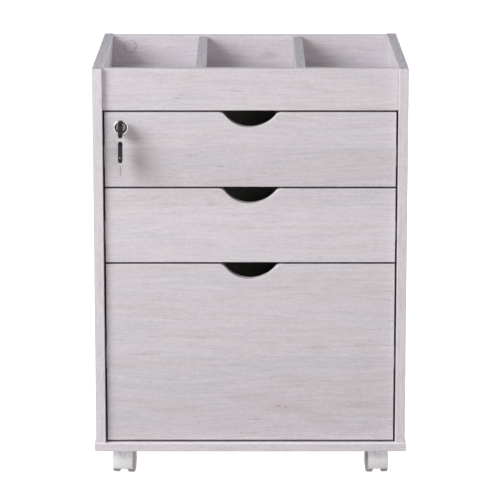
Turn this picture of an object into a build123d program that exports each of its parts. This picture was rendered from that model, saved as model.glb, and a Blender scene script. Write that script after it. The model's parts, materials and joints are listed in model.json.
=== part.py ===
from build123d import *
import os
from math import asin, atan2, cos, radians, sin, sqrt

os.makedirs("parts", exist_ok=True)

# Rolling pedestal cabinet. Millimetres, +Z up, the front faces -Y, +X is to the right of
# someone facing the front. The origin is on the floor, under the centre of the whole
# object's box, with the key standing in its lock.

# ---- driving dimensions ---------------------------------------------------------------

# Cabinet
cabinet_width = 480.0        # over the two side panels
cabinet_depth = 400.0        # front edge to rear edge of a side panel
cabinet_height = 650.0       # floor to the top of a side panel
board_t = 15.0               # sides, back, rail, tray floor and drawer fronts
base_t = 13.0
base_overhang = 2.0          # base past the side panels at both sides and at the front
divider_t = 14.0
edge_round = 0.6             # rounding on the arris of every laminated board
front_recess = 8.0           # rail and drawer fronts behind the side panels' front edges
back_inset = 3.0             # back panel in from the side panels' rear edges

# Tray on top
rail_height = 64.0
rail_drop = 1.0              # rail and back panel below the tops of the side panels
tray_depth = 46.0            # tops of the side panels down to the tray floor
divider_drop = 3.0           # dividers below the tops of the side panels

# Drawer fronts
front_side_gap = 3.0         # each side, to the side panels
front_gap = 3.0              # above each drawer front
base_gap = 3.0               # file drawer front above the base
small_front_height = 115.0   # the two box drawers
scoop_depth = 23.5           # finger cut-out in the top edge of each front
scoop_radius = 50.0
scoop_shoulder = 12.0

# Drawer boxes
box_board_t = 12.0
box_rear_gap = 9.0           # drawer boxes short of the back panel
box_lift = 10.0              # box above the lower edge of its front
small_box_headroom = 37.0    # box below the top of its front
file_box_headroom = 35.0
bottom_t = 3.0
bottom_lift = 8.0            # bottom panel above the lower edge of the box
groove_depth = 5.0
groove_play = 0.5            # bottom panel short of the groove's floor
slide_kept = 20.0            # length of a slide that stays in when a drawer is open
file_bar_spacing = 311.0     # between the hook lines of hanging files
file_bar_height = 14.0
file_bar_t = 2.5
file_bar_drop = 6.0          # bars below the top of the file drawer box

# Telescopic slides, three members each
slide_gap = 12.5             # side panel to drawer box
slide_height = 35.0
slide_metal = 1.2
slide_play = 0.4             # between neighbouring members
slide_setback = 10.0         # cabinet member behind the closed fronts

# Cam fittings
cam_radius = 7.5
cam_depth = 12.0
cam_from_side = 27.5         # cam centre to the side panel's inner face
cam_bolt_radius = 3.0
cam_bolt_play = 0.5
cam_bolt_bite = 10.0         # bolt screwed into the side panel
cam_cross_radius = 3.4       # cross recess in a cam's mouth
cam_cross_width = 1.2
cam_cross_depth = 1.5
low_cam_lift = 90.0          # lower back cams above the base
high_cam_lift = 60.0         # upper back cams above the middle of the drawer space
floor_cam_inset = 55.0       # tray floor cams from its front and rear edges
tray_cam_drop = 19.0         # visible back panel cam below the tops of the sides
cap_radius = 10.2
cap_t = 1.4

# Base screws
base_screw_length = 48.0
base_screw_radius = 3.2
base_screw_head_radius = 5.2
base_screw_head_t = 3.0
base_screw_end_inset = 50.0

# Lock on the top drawer
lock_from_side = 28.0        # lock axis from the side panel's inner face
lock_from_top = 23.0         # lock axis below the top of the drawer front
bezel_radius = 11.0
bezel_stand = 3.0            # bezel proud of the drawer front
bezel_round = 1.4
barrel_radius = 9.0
barrel_play = 0.2
barrel_behind = 9.0          # barrel past the back of the drawer front
rotor_radius = 6.4
rotor_recess = 0.6           # rotor face behind the bezel's face
running_play = 0.05          # radial clearance of every turning fit
nut_radius = 13.0
nut_t = 4.0
cam_arm_length = 26.0        # lock axis to the tip of the locking cam
cam_arm_width = 14.0
cam_arm_t = 2.0
cam_arm_play = 0.3           # behind the barrel
rotor_square = 6.0
lock_screw_radius = 1.6
lock_screw_length = 8.0
lock_screw_head_radius = 4.0
lock_screw_head_t = 2.0
keeper_t = 1.5
keeper_width = 26.0
keeper_drop = 15.0
keeper_foot = 20.0
keeper_behind_nut = 1.0

# Keys and ring
key_head_length = 31.0
key_head_width = 24.0
key_head_t = 6.0
key_head_corner = 8.0
key_head_round = 1.2
key_head_gap = 2.0           # head clear of the bezel
key_blade_t = 2.2
key_blade_width = 8.0
key_blade_length = 20.0      # past the head
key_blade_root = 8.0         # inside the head
keyway_play = 0.1
key_slot_width = 5.4
key_slot_length = 12.0
key_slot_wall = 3.0          # head material beyond the slot
key_cut_count = 4            # pairs of notches along the blade
key_cut_side = 0.8           # side of the square that cuts a shallow notch
key_cut_step = 0.5           # deep notches are cut by a larger square
ring_radius = 9.0            # to the middle of the wire
wire_radius = 0.7
ring_play = 0.3

# Casters
caster_inset_x = 40.0        # swivel axis in from a side panel's outer face
caster_inset_y = 44.0        # swivel axis in from the front and rear edges
wheel_radius = 20.0
caster_headroom = 10.0       # underside of the base above the wheels
wheel_width = 9.8
wheel_dome = 1.2
wheel_round = 1.2
wheel_spacing = 13.8         # between the two wheels of one caster
wheel_side_play = 0.7        # wheel to the hood's web
wheel_skin = 1.6             # wheel material outside the axle's end
wheel_recess = 2.5           # ring recess in the inner face
wheel_hub_wall = 4.0
wheel_rim_wall = 4.0
axle_radius = 2.0
axle_end_play = 0.3
caster_trail = 16.0          # axle behind the swivel axis
hood_play = 1.2              # hood over the wheel tread
hood_wall = 1.8
hood_width = 31.6
hood_front_clearance = 9.5   # hood's front edge above the floor
hood_rear_angle = 20.0       # hood's rear edge above the axle, degrees
hood_hub_radius = 8.0
boss_radius = 6.0
boss_round = 0.6
boss_gap = 0.3               # top of the boss to the race
race_radius = 8.0
race_t = 0.6
kingpin_radius = 4.0
kingpin_length = 17.0
kingpin_end_play = 0.5
plate_size = 42.0
plate_t = 2.5
plate_corner = 4.0
plate_screw_spacing = 31.0
plate_screw_radius = 1.9
plate_screw_length = 12.5
plate_screw_head_radius = 3.8
plate_screw_head_t = 1.4
caster_turn = {              # how far each caster is turned at rest, degrees
    "front_left": -6.0,
    "front_right": 5.0,
    "rear_left": 4.0,
    "rear_right": -3.0,
}

# ---- places worked out from them ------------------------------------------------------

slot_centre = key_head_length - key_slot_wall - key_slot_width / 2
key_reach = max(key_head_length, slot_centre + key_head_width / 2)
key_stand_out = bezel_stand + key_head_gap + key_reach - front_recess
front_y = -(cabinet_depth - key_stand_out) / 2
rear_y = front_y + cabinet_depth
side_x = cabinet_width / 2
inner_x = side_x - board_t
face_y = front_y + front_recess
face_back_y = face_y + board_t
back_panel_y = rear_y - back_inset - board_t

caster_height = 2 * wheel_radius + caster_headroom
base_top_z = caster_height + base_t
rail_top_z = cabinet_height - rail_drop
rail_low_z = rail_top_z - rail_height
tray_floor_z = cabinet_height - tray_depth
divider_top_z = cabinet_height - divider_drop

front_1_top = rail_low_z - front_gap
front_1_low = front_1_top - small_front_height
front_2_top = front_1_low - front_gap
front_2_low = front_2_top - small_front_height
front_3_top = front_2_low - front_gap
front_3_low = base_top_z + base_gap
front_half_width = inner_x - front_side_gap

box_x = inner_x - slide_gap
box_inner_x = box_x - box_board_t
box_rear_y = back_panel_y - box_rear_gap
small_box_height = small_front_height - box_lift - small_box_headroom
file_box_height = front_3_top - front_3_low - box_lift - file_box_headroom
drawer_travel = box_rear_y - face_back_y - slide_kept

lock_x = -(inner_x - lock_from_side)
lock_z = front_1_top - lock_from_top
barrel_end_y = face_back_y + barrel_behind
cam_arm_y = barrel_end_y + cam_arm_play
bezel_y = face_y - bezel_stand
key_head_y = bezel_y - key_head_gap

wheel_inner = wheel_spacing / 2
hood_inner_radius = wheel_radius + hood_play
hood_outer_radius = hood_inner_radius + hood_wall
plate_low_z = caster_height - plate_t
race_low_z = plate_low_z - race_t


# ---- shapes used again and again ------------------------------------------------------

def block(x0, x1, y0, y1, z0, z1):
    """Box between two corners."""
    middle = Pos((x0 + x1) / 2, (y0 + y1) / 2, (z0 + z1) / 2)
    return middle * Box(x1 - x0, y1 - y0, z1 - z0)


def board(x0, x1, y0, y1, z0, z1):
    """Board with every arris rounded."""
    return fillet(block(x0, x1, y0, y1, z0, z1).edges(), edge_round)


def rod_x(x0, x1, y, z, radius):
    return Pos((x0 + x1) / 2, y, z) * Rot(0, 90, 0) * Cylinder(radius, x1 - x0)


def rod_y(x, y0, y1, z, radius):
    return Pos(x, (y0 + y1) / 2, z) * Rot(90, 0, 0) * Cylinder(radius, y1 - y0)


def rod_z(x, y, z0, z1, radius):
    return Pos(x, y, (z0 + z1) / 2) * Cylinder(radius, z1 - z0)


def write(name, *solids):
    """Write one node, as one solid or a group of separate solids."""
    pieces = []
    for solid in solids:
        pieces.extend(solid.solids())
    shape = pieces[0] if len(pieces) == 1 else Compound(children=pieces)
    shape.label = name
    export_step(shape, os.path.join("parts", name + ".step"))


def cut_all(shape, cutters):
    for cutter in cutters:
        shape = shape - cutter
    return shape


# ---- cam fittings: a disc set in the board, a bolt from the side panel ----------------

def cam_disc(x, y, z, turn):
    """Solid disc of a cam, its flat mouth on the board's face; turn sets its axis."""
    return Pos(x, y, z) * turn * Pos(0, 0, cam_depth / 2) * Cylinder(cam_radius, cam_depth)


def cam_slot(x, y, z, turn):
    """Cross recess for a screwdriver in the mouth of a cam."""
    bar = Box(2 * cam_cross_radius, cam_cross_width, 2 * cam_cross_depth)
    return Pos(x, y, z) * turn * (bar + Rot(0, 0, 90) * bar)


def cam_joint(side, mouth, turn, bolt_y, bolt_z):
    """One fitting at a side panel: side is -1 or 1, mouth the centre of the disc's mouth."""
    x = side * (inner_x - cam_from_side)
    bolt_end = side * (inner_x + cam_bolt_bite)
    ends = sorted((x, bolt_end))
    bolt = rod_x(ends[0], ends[1], bolt_y, bolt_z, cam_bolt_radius)
    pocket = cam_disc(x, mouth[0], mouth[1], turn)
    tunnel = rod_x(ends[0], ends[1], bolt_y, bolt_z, cam_bolt_radius + cam_bolt_play)
    tunnel = tunnel & block(-inner_x, inner_x, front_y, rear_y, 0, cabinet_height)
    disc = pocket - tunnel - cam_slot(x, mouth[0], mouth[1], turn)
    return {"disc": disc, "bolt": bolt, "pocket": pocket + tunnel, "side": side}


up = Rot(0, 0, 0)
rearward = Rot(-90, 0, 0)
tray_floor_low_z = tray_floor_z - board_t
floor_cams = []
for side in (-1, 1):
    for cam_y in (face_back_y + floor_cam_inset, back_panel_y - floor_cam_inset):
        mouth = (cam_y, tray_floor_low_z)
        floor_cams.append(cam_joint(side, mouth, up, cam_y, tray_floor_z - board_t / 2))

low_cam_zs = (base_top_z + low_cam_lift,
              (base_top_z + tray_floor_low_z) / 2 + high_cam_lift)
back_cams = []
for side in (-1, 1):
    for cam_z in low_cam_zs:
        mouth = (back_panel_y, cam_z)
        back_cams.append(cam_joint(side, mouth, rearward, back_panel_y + board_t / 2, cam_z))
tray_cam_z = cabinet_height - tray_cam_drop
back_cams.append(cam_joint(-1, (back_panel_y, tray_cam_z), rearward,
                           back_panel_y + board_t / 2, tray_cam_z))
all_cams = floor_cams + back_cams


# ---- base screws ----------------------------------------------------------------------

def base_screw(x, y):
    head = rod_z(x, y, caster_height, caster_height + base_screw_head_t,
                 base_screw_head_radius)
    shank = rod_z(x, y, caster_height, caster_height + base_screw_length, base_screw_radius)
    return head + shank


base_screws = []
for side in (-1, 1):
    for screw_y in (front_y + base_screw_end_inset, (front_y + rear_y) / 2,
                    rear_y - base_screw_end_inset):
        base_screws.append(base_screw(side * (side_x - board_t / 2), screw_y))

# ---- casters: one is built on the swivel axis, then placed and turned -----------------

caster_places = {
    "front_left": (-(side_x - caster_inset_x), front_y + caster_inset_y),
    "front_right": (side_x - caster_inset_x, front_y + caster_inset_y),
    "rear_left": (-(side_x - caster_inset_x), rear_y - caster_inset_y),
    "rear_right": (side_x - caster_inset_x, rear_y - caster_inset_y),
}


def at_caster(corner, shape, turned=True):
    x, y = caster_places[corner]
    turn = caster_turn[corner] if turned else 0
    return Pos(x, y, 0) * Rot(0, 0, turn) * shape


def caster_screws():
    half = plate_screw_spacing / 2
    screws = []
    for sx in (-half, half):
        for sy in (-half, half):
            head = rod_z(sx, sy, plate_low_z - plate_screw_head_t, plate_low_z,
                         plate_screw_head_radius)
            head = fillet(head.edges().sort_by(Axis.Z)[0], plate_screw_head_t / 2)
            shank = rod_z(sx, sy, plate_low_z, plate_low_z + plate_screw_length,
                          plate_screw_radius)
            screws.append(head + shank)
    return screws


def caster_plate():
    plate = block(-plate_size / 2, plate_size / 2, -plate_size / 2, plate_size / 2,
                  plate_low_z, caster_height)
    plate = fillet(plate.edges().filter_by(Axis.Z), plate_corner)
    race = rod_z(0, 0, race_low_z, plate_low_z, race_radius)
    kingpin = rod_z(0, 0, race_low_z - kingpin_length, race_low_z, kingpin_radius)
    return cut_all(plate + race + kingpin, caster_screws())


def hood_sector(radius, width):
    """Part of a disc about the axle that the hood covers."""
    front_angle = -asin((wheel_radius - hood_front_clearance) / hood_outer_radius)
    rear_angle = radians(180 - hood_rear_angle)
    far = 2 * radius
    steps = 4
    points = [(0, 0)]
    for step in range(steps + 1):
        angle = front_angle + (rear_angle - front_angle) * step / steps
        points.append((-far * cos(angle), far * sin(angle)))
    outline = make_face(Polyline(*points, close=True))
    wedge_plane = Plane(origin=(-width / 2, caster_trail, wheel_radius), x_dir=(0, 1, 0),
                        z_dir=(1, 0, 0))
    wedge = extrude(wedge_plane * outline, amount=width)
    return wedge & rod_x(-width / 2, width / 2, caster_trail, wheel_radius, radius)


def caster_hood():
    web_width = wheel_spacing - 2 * wheel_side_play
    shell = hood_sector(hood_outer_radius, hood_width)
    hollow = rod_x(-hood_width, hood_width, caster_trail, wheel_radius, hood_inner_radius)
    web = hood_sector(hood_outer_radius - hood_wall / 2, web_width)
    hub = rod_x(-web_width / 2, web_width / 2, caster_trail, wheel_radius, hood_hub_radius)
    boss_top = race_low_z - boss_gap
    boss = rod_z(0, 0, wheel_radius, boss_top, boss_radius)
    boss = fillet(boss.edges().sort_by(Axis.Z)[-1], boss_round)
    bore_low = race_low_z - kingpin_length - kingpin_end_play
    bore = rod_z(0, 0, bore_low, boss_top + 1, kingpin_radius + running_play)
    axle_hole = rod_x(-web_width, web_width, caster_trail, wheel_radius, axle_radius)
    return (shell - hollow) + web + hub + boss - bore - axle_hole


def caster_axle():
    half = wheel_inner + wheel_width - wheel_skin - axle_end_play
    return rod_x(-half, half, caster_trail, wheel_radius, axle_radius)


def caster_wheel(side):
    """Wheel turned about the axle: rounded tread, ring recess inside, domed closed face."""
    inner = wheel_inner
    outer = wheel_inner + wheel_width
    bore = axle_radius + running_play
    hub = axle_radius + wheel_hub_wall
    rim = wheel_radius - wheel_rim_wall
    soft = wheel_radius - wheel_round
    corner = wheel_round * (1 - sqrt(0.5))
    dome_edge = rim + wheel_round
    dome_sphere = (dome_edge ** 2 + wheel_dome ** 2) / (2 * wheel_dome)
    half_turn = asin(dome_edge / dome_sphere) / 2
    dome_x = outer + wheel_dome - dome_sphere * (1 - cos(half_turn))
    hollow = Polyline((outer - wheel_skin, 0), (outer - wheel_skin, bore), (inner, bore),
                      (inner, hub), (inner + wheel_recess, hub),
                      (inner + wheel_recess, rim), (inner, rim), (inner, soft))
    first = ThreePointArc((inner, soft), (inner + corner, wheel_radius - corner),
                          (inner + wheel_round, wheel_radius))
    tread = Line((inner + wheel_round, wheel_radius), (outer - wheel_round, wheel_radius))
    second = ThreePointArc((outer - wheel_round, wheel_radius),
                           (outer - corner, wheel_radius - corner), (outer, soft))
    flat = Line((outer, soft), (outer, dome_edge))
    dome = ThreePointArc((outer, dome_edge), (dome_x, dome_sphere * sin(half_turn)),
                         (outer + wheel_dome, 0))
    middle = Line((outer + wheel_dome, 0), (outer - wheel_skin, 0))
    outline = make_face(hollow + first + tread + second + flat + dome + middle)
    section = Plane(origin=(0, caster_trail, wheel_radius), x_dir=(1, 0, 0),
                    z_dir=(0, -1, 0))
    axle_line = Axis((0, caster_trail, wheel_radius), (1, 0, 0))
    wheel = revolve(section * outline, axle_line)
    return wheel if side > 0 else mirror(wheel, Plane.YZ)


for corner in caster_places:
    write("caster_hood_" + corner, at_caster(corner, caster_hood()))
    write("caster_axle_" + corner, at_caster(corner, caster_axle()))
    write("caster_wheel_left_" + corner, at_caster(corner, caster_wheel(-1)))
    write("caster_wheel_right_" + corner, at_caster(corner, caster_wheel(1)))
plate_screws = []
for corner in caster_places:
    for screw in caster_screws():
        plate_screws.append(at_caster(corner, screw, turned=False))
write("caster_plates", *[at_caster(c, caster_plate(), turned=False) for c in caster_places])
write("caster_screws", *plate_screws)

# ---- carcass --------------------------------------------------------------------------

for name, side in (("side_panel_left", -1), ("side_panel_right", 1)):
    xs = sorted((side * inner_x, side * side_x))
    panel = board(xs[0], xs[1], front_y, rear_y, base_top_z, cabinet_height)
    panel = cut_all(panel, [cam["bolt"] for cam in all_cams if cam["side"] == side])
    write(name, cut_all(panel, base_screws))

base = board(-side_x - base_overhang, side_x + base_overhang, front_y - base_overhang,
             rear_y, caster_height, base_top_z)
base = cut_all(base, base_screws)
write("base_panel", cut_all(base, plate_screws))
write("base_screws", *base_screws)

back_panel = board(-inner_x, inner_x, back_panel_y, back_panel_y + board_t, base_top_z,
                   rail_top_z)
write("back_panel", cut_all(back_panel, [cam["pocket"] for cam in back_cams]))
write("front_rail", board(-inner_x, inner_x, face_y, face_back_y, rail_low_z, rail_top_z))
tray_floor = board(-inner_x, inner_x, face_back_y, back_panel_y, tray_floor_low_z,
                   tray_floor_z)
write("tray_floor", cut_all(tray_floor, [cam["pocket"] for cam in floor_cams]))

compartment = (2 * inner_x - 2 * divider_t) / 3
for name, side in (("tray_divider_left", -1), ("tray_divider_right", 1)):
    xs = sorted((side * compartment / 2, side * (compartment / 2 + divider_t)))
    write(name, board(xs[0], xs[1], face_back_y, back_panel_y, tray_floor_z,
                      divider_top_z))

write("cam_fittings", *[cam["disc"] for cam in all_cams], *[cam["bolt"] for cam in all_cams])
cap = rod_y(-(inner_x - cam_from_side), back_panel_y - cap_t, back_panel_y, tray_cam_z,
            cap_radius)
write("cam_cover_cap", fillet(cap.edges().sort_by(Axis.Y)[0], cap_t / 2))


# ---- slides: sections are drawn for the right-hand side and mirrored ------------------

def channel(x0, x1, half_height, web_at_x1, setback):
    """Three walls of a slide member: lips above and below, and an upright web."""
    y0 = face_back_y + setback
    y1 = box_rear_y
    outer = block(x0, x1, y0, y1, -half_height, half_height)
    hollow_x0 = x0 - 1 if web_at_x1 else x0 + slide_metal
    hollow_x1 = x1 - slide_metal if web_at_x1 else x1 + 1
    inner_half = half_height - slide_metal
    return outer - block(hollow_x0, hollow_x1, y0 - 1, y1 + 1, -inner_half, inner_half)


cabinet_half = slide_height / 2
middle_half = cabinet_half - slide_metal - slide_play
drawer_half = middle_half - slide_metal - slide_play
middle_x1 = inner_x - slide_metal - slide_play
middle_x0 = box_x + slide_metal + slide_play
cabinet_x0 = box_x + slide_play


def slide_pair(section, z):
    right = Pos(0, 0, z) * section
    return [right, mirror(right, Plane.YZ)]


def cabinet_members(z):
    return slide_pair(channel(cabinet_x0, inner_x, cabinet_half, True, slide_setback), z)


def middle_members(z):
    section = channel(middle_x0, middle_x1, middle_half, True, slide_setback / 2)
    return slide_pair(section, z)


def drawer_members(z):
    inner_wall_x = middle_x1 - slide_metal - slide_play
    return slide_pair(channel(box_x, inner_wall_x, drawer_half, False, 0), z)


# ---- drawers --------------------------------------------------------------------------

def scoop_outline(top):
    """Finger cut-out: a round bottom with a rounded shoulder at each end."""
    centre_z = top - scoop_depth + scoop_radius
    shoulder_z = top - scoop_shoulder
    reach = scoop_radius + scoop_shoulder
    shoulder_x = sqrt(reach ** 2 - (centre_z - shoulder_z) ** 2)
    touch_x = shoulder_x * scoop_radius / reach
    touch_z = centre_z + (shoulder_z - centre_z) * scoop_radius / reach
    half_turn = atan2(shoulder_x, centre_z - shoulder_z) / 2
    bend_x = shoulder_x - scoop_shoulder * sin(half_turn)
    bend_z = shoulder_z + scoop_shoulder * cos(half_turn)
    left = ThreePointArc((-shoulder_x, top), (-bend_x, bend_z), (-touch_x, touch_z))
    bowl = ThreePointArc((-touch_x, touch_z), (0, top - scoop_depth), (touch_x, touch_z))
    right = ThreePointArc((touch_x, touch_z), (bend_x, bend_z), (shoulder_x, top))
    lid = Polyline((shoulder_x, top), (shoulder_x, top + 1), (-shoulder_x, top + 1),
                   (-shoulder_x, top))
    return make_face(left + bowl + right + lid)


def drawer_front(low, top):
    middle = (low + top) / 2
    outline = Pos(0, middle) * Rectangle(2 * front_half_width, top - low)
    outline = outline - scoop_outline(top)
    back_face = Plane(origin=(0, face_back_y, 0), x_dir=(1, 0, 0), z_dir=(0, -1, 0))
    panel = extrude(back_face * outline, amount=board_t)
    rims = panel.edges().filter_by(Axis.Y, reverse=True)
    return fillet(rims, edge_round)


def bottom_slot(z):
    """Space of the bottom panel's grooves, cut from the front, the sides and the back."""
    reach_x = box_inner_x + groove_depth
    return block(-reach_x, reach_x, face_back_y - groove_depth,
                 box_rear_y - box_board_t + groove_depth, z, z + bottom_t)


def drawer(name, low, top, box_height):
    """Write one drawer and its slide members; the lock's hole goes in the top one."""
    box_low = low + box_lift
    box_top = box_low + box_height
    slot = bottom_slot(box_low + bottom_lift)
    front = drawer_front(low, top) - slot
    if name == "drawer_1":
        front = front - rod_y(lock_x, face_y - 1, face_back_y + 1, lock_z,
                              barrel_radius + barrel_play)
    write(name + "_front", front)
    sides = []
    for xs in ((-box_x, -box_inner_x), (box_inner_x, box_x)):
        sides.append(block(xs[0], xs[1], face_back_y, box_rear_y, box_low, box_top) - slot)
    write(name + "_sides", *sides)
    write(name + "_back", block(-box_inner_x, box_inner_x, box_rear_y - box_board_t,
                                box_rear_y, box_low, box_top) - slot)
    reach_x = box_inner_x + groove_depth - groove_play
    write(name + "_bottom", block(
        -reach_x, reach_x, face_back_y - groove_depth + groove_play,
        box_rear_y - box_board_t + groove_depth - groove_play,
        box_low + bottom_lift, box_low + bottom_lift + bottom_t))
    slide_z = (box_low + box_top) / 2
    write(name + "_slide_middles", *middle_members(slide_z))
    write(name + "_slide_runners", *drawer_members(slide_z))
    return cabinet_members(slide_z)


fixed_members = []
fixed_members += drawer("drawer_1", front_1_low, front_1_top, small_box_height)
fixed_members += drawer("drawer_2", front_2_low, front_2_top, small_box_height)
fixed_members += drawer("file_drawer", front_3_low, front_3_top, file_box_height)
write("slide_cabinet_members", *fixed_members)

file_box_top = front_3_low + box_lift + file_box_height
bars = []
for side in (-1, 1):
    bar_x = side * file_bar_spacing / 2
    bars.append(block(bar_x - file_bar_t / 2, bar_x + file_bar_t / 2, face_back_y,
                      box_rear_y - box_board_t, file_box_top - file_bar_drop - file_bar_height,
                      file_box_top - file_bar_drop))
write("file_bars", *bars)

# ---- lock -----------------------------------------------------------------------------

bezel = rod_y(lock_x, bezel_y, face_y, lock_z, bezel_radius)
bezel = fillet(bezel.edges().sort_by(Axis.Y)[0], bezel_round)
barrel = rod_y(lock_x, face_y, barrel_end_y, lock_z, barrel_radius)
rotor_bore = rod_y(lock_x, bezel_y - 1, barrel_end_y + 1, lock_z,
                   rotor_radius + running_play)
write("lock_housing", bezel + barrel - rotor_bore)

nut_hexagon = Plane(origin=(lock_x, face_back_y, lock_z), x_dir=(1, 0, 0),
                    z_dir=(0, 1, 0)) * RegularPolygon(nut_radius, 6)
nut = extrude(nut_hexagon, amount=nut_t)
write("lock_nut", nut - rod_y(lock_x, face_y, barrel_end_y, lock_z, barrel_radius))

rotor_y = bezel_y + rotor_recess
rotor = rod_y(lock_x, rotor_y, cam_arm_y, lock_z, rotor_radius)
half_square = rotor_square / 2
tail = block(lock_x - half_square, lock_x + half_square, cam_arm_y, cam_arm_y + cam_arm_t,
             lock_z - half_square, lock_z + half_square)
keyway_t = key_blade_t / 2 + keyway_play
keyway_w = key_blade_width / 2 + keyway_play
blade_tip_y = key_head_y + key_blade_length
keyway = block(lock_x - keyway_t, lock_x + keyway_t, rotor_y - 1, blade_tip_y + 1,
               lock_z - keyway_w, lock_z + keyway_w)
cam_screw_y = cam_arm_y + cam_arm_t
screw_head = rod_y(lock_x, cam_screw_y, cam_screw_y + lock_screw_head_t, lock_z,
                   lock_screw_head_radius)
screw_shank = rod_y(lock_x, cam_screw_y - lock_screw_length, cam_screw_y, lock_z,
                    lock_screw_radius)
write("lock_cylinder", rotor + tail - keyway - screw_shank)
write("lock_cam_screw", screw_head + screw_shank)

cam_arm = block(lock_x - cam_arm_width / 2, lock_x + cam_arm_length, cam_arm_y,
                cam_arm_y + cam_arm_t, lock_z - cam_arm_width / 2,
                lock_z + cam_arm_width / 2)
cam_arm = fillet(cam_arm.edges().filter_by(Axis.Y), cam_arm_width / 4)
write("lock_cam", cam_arm - tail)

keeper_y = face_back_y + nut_t + keeper_behind_nut
keeper_x0 = lock_x - keeper_width / 2
keeper_x1 = lock_x + keeper_width / 2
keeper = block(keeper_x0, keeper_x1, keeper_y, keeper_y + keeper_t,
               tray_floor_low_z - keeper_drop, tray_floor_low_z)
keeper += block(keeper_x0, keeper_x1, keeper_y, keeper_y + keeper_foot,
                tray_floor_low_z - keeper_t, tray_floor_low_z)
write("lock_keeper", keeper)


# ---- keys, drawn with the blade pointing along +Y and the head's plate upright --------

def key_head():
    """Moulded head from y = -length to 0, with a cross slot near its far end."""
    head = block(-key_head_t / 2, key_head_t / 2, -key_head_length, 0,
                 -key_head_width / 2, key_head_width / 2)
    head = fillet(head.edges().filter_by(Axis.X), key_head_corner)
    head = fillet(head.edges().filter_by(Axis.X, reverse=True), key_head_round)
    slot_y = -key_head_length + key_slot_wall + key_slot_width / 2
    slot_plane = Plane(origin=(-key_head_t, slot_y, 0), x_dir=(0, 0, 1), z_dir=(1, 0, 0))
    slot = extrude(slot_plane * SlotOverall(key_slot_length, key_slot_width),
                   amount=2 * key_head_t)
    return head - slot - key_blade()


def key_blade():
    """Steel blade from inside the head to its tip, with bitting along both edges."""
    blade = block(-key_blade_t / 2, key_blade_t / 2, -key_blade_root, key_blade_length,
                  -key_blade_width / 2, key_blade_width / 2)
    tip_edges = blade.edges().filter_by(Axis.X).sort_by(Axis.Y)[-2:]
    blade = chamfer(tip_edges, key_blade_width / 3)
    cut_pitch = key_blade_length / (key_cut_count + 2)
    cuts = []
    for index in range(key_cut_count):
        cut_y = cut_pitch * (index + 1.5)
        bite = key_cut_side + key_cut_step * (index % 2)
        for edge in (-1, 1):
            cuts.append(Pos(0, cut_y, edge * key_blade_width / 2) * Rot(45, 0, 0)
                        * Box(2 * key_blade_t, bite, bite))
    return cut_all(blade, cuts)


wire_dip = ring_radius - sqrt(ring_radius ** 2 - (key_head_t / 2) ** 2)
ring_seat = wire_radius + wire_dip + ring_play
ring_y = key_head_y - slot_centre
ring_top_z = lock_z - key_slot_length / 2 + ring_seat
ring_centre_z = ring_top_z - ring_radius
ring_low_z = ring_top_z - 2 * ring_radius
spare_end_z = ring_low_z + ring_seat + key_slot_wall
spare_head_z = spare_end_z - key_head_length

in_lock = Pos(lock_x, key_head_y, lock_z)
hanging = Pos(lock_x, ring_y, spare_head_z) * Rot(-90, 0, 0)
write("key_head", in_lock * key_head())
write("key_blade", in_lock * key_blade())
write("key_ring", Pos(lock_x, ring_y, ring_centre_z) * Rot(90, 0, 0)
      * Torus(ring_radius, wire_radius))
write("spare_key_head", hanging * key_head())
write("spare_key_blade", hanging * key_blade())
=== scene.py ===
import json
import logging
from dataclasses import dataclass, field
from enum import Enum
from math import pi, radians
from typing import Any, Dict, Tuple, Union

import bmesh
import bpy
import numpy as np
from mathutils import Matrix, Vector


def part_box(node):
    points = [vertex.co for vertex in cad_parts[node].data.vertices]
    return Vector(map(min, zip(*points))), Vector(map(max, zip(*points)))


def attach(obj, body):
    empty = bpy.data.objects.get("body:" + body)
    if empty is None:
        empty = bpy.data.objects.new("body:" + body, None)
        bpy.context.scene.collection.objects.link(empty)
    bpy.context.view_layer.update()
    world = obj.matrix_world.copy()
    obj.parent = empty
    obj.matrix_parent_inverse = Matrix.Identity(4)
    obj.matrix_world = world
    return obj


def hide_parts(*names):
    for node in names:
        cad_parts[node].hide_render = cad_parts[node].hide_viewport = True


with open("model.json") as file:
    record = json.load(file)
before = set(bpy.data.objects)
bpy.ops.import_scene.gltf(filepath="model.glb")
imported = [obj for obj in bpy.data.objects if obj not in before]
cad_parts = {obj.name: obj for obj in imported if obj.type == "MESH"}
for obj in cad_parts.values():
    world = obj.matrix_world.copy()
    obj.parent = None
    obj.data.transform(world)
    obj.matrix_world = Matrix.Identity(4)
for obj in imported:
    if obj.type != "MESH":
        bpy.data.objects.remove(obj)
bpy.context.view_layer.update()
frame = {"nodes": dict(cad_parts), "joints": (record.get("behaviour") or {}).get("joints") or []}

# Looks of a rolling pedestal cabinet: laminate, metal and plastic finishes on the frame's
# pieces, and finer casters, lock housing, ring and key pins in place of the plain ones.
# Lengths are in metres.

LOG = logging.getLogger("cabinet")
MM = 0.001
MID = 0.5               # middle of a noise's range
MERGE = 1e-7            # points closer than this are one
SHARP_ANGLE = 38        # degrees between faces past which an edge stays sharp

Colour = Tuple[float, float, float]
Value = Union[float, "Wire"]
Circle = Tuple[float, float, float]


# ---- shader maths ---------------------------------------------------------------------

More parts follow.
